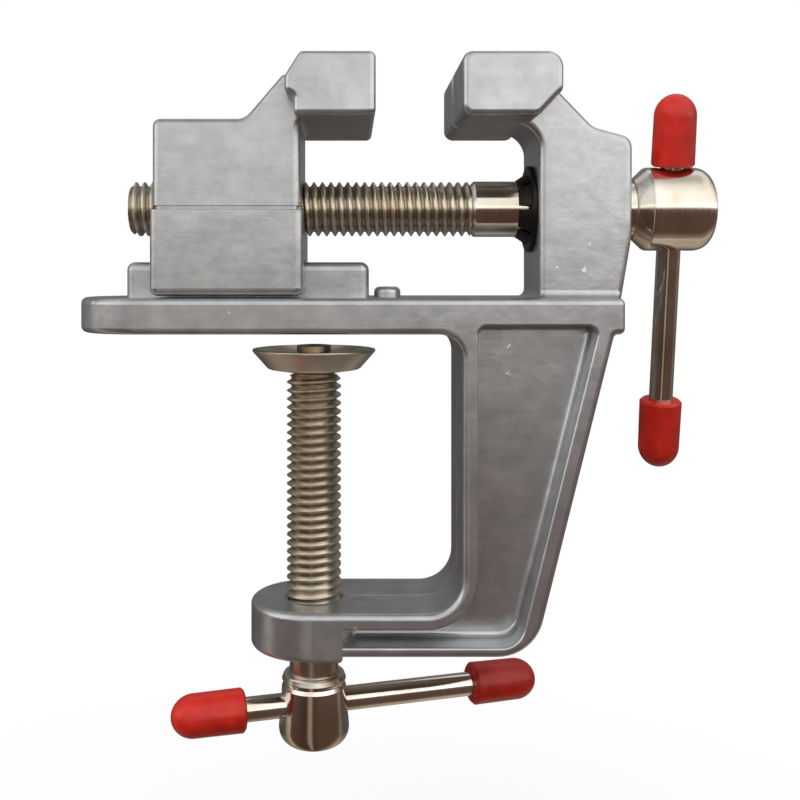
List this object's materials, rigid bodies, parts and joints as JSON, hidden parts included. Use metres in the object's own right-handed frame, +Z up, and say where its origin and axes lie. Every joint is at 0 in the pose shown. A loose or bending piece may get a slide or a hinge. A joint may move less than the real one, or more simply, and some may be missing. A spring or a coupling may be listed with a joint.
{
  "type": "mini table vise",
  "caption": "Small clamp-on bench vise: cast frame with a guide rib, sliding jaw on a cross-handled screw, and a table clamp screw with a swivel pad and a capped sliding bar.",
  "frame": {"origin": "on the plate's flat underside, which sits on the table top, on the clamp screw's axis", "axes": "+X towards the fixed jaw and the vise handle, +Y away from the front, +Z up"},
  "size_m": [0.0927, 0.03, 0.0995],
  "materials": {
    "grey_casting": "satin grey paint over a slightly rough aluminium die casting",
    "nickel_steel": "bright nickel plate, faintly brushed around the turned faces",
    "black_washer": "black oxide on spring steel",
    "red_cap": "smooth glossy soft PVC"
  },
  "bodies": {
    "frame": {"frame": "grey_casting"},
    "vise_screw": {"vise_screw": "nickel_steel", "retaining_washer": "black_washer"},
    "vise_handle": {"vise_handle_bar": "nickel_steel", "vise_handle_upper_cap": "red_cap", "vise_handle_lower_cap": "red_cap"},
    "movable_jaw": {"movable_jaw": "grey_casting"},
    "clamp_pad": {"clamp_pad": "nickel_steel"},
    "clamp_screw": {"clamp_screw": "nickel_steel"},
    "clamp_handle": {"clamp_handle_bar": "nickel_steel", "clamp_handle_left_cap": "red_cap", "clamp_handle_right_cap": "red_cap"}
  },
  "joints": [
    {"name": "vise_screw_spin", "type": "hinge", "parent": "frame", "child": "vise_screw", "pos_m": [0, 0, 0.01805], "axis": [1, 0, 0], "range_deg": [-3311.7, 5271.2]},
    {"name": "jaw_slide", "type": "slide", "parent": "frame", "child": "movable_jaw", "axis": [1, 0, 0], "range_m": [-0.0184, 0.0116]},
    {"name": "vise_handle_slide", "type": "slide", "parent": "vise_screw", "child": "vise_handle", "axis": [0, -0.1719, 0.9851], "range_m": [0, 0.0229]},
    {"name": "pad_slide", "type": "slide", "parent": "frame", "child": "clamp_pad", "axis": [0, 0, 1], "range_m": [-0.0328, 0.0018]},
    {"name": "clamp_screw_spin", "type": "hinge", "parent": "clamp_pad", "child": "clamp_screw", "pos_m": [0, 0, -0.03], "axis": [0, 0, 1], "range_deg": [-9442.3, 515.7]},
    {"name": "clamp_handle_slide", "type": "slide", "parent": "clamp_screw", "child": "clamp_handle", "axis": [0.9598, 0.2807, 0], "range_m": [-0.0195, 0.005]}
  ],
  "couplings": [
    {"joint": "jaw_slide", "follows": "vise_screw_spin", "m_per_rad": -0.00019894},
    {"joint": "pad_slide", "follows": "clamp_screw_spin", "m_per_rad": 0.00019894}
  ]
}
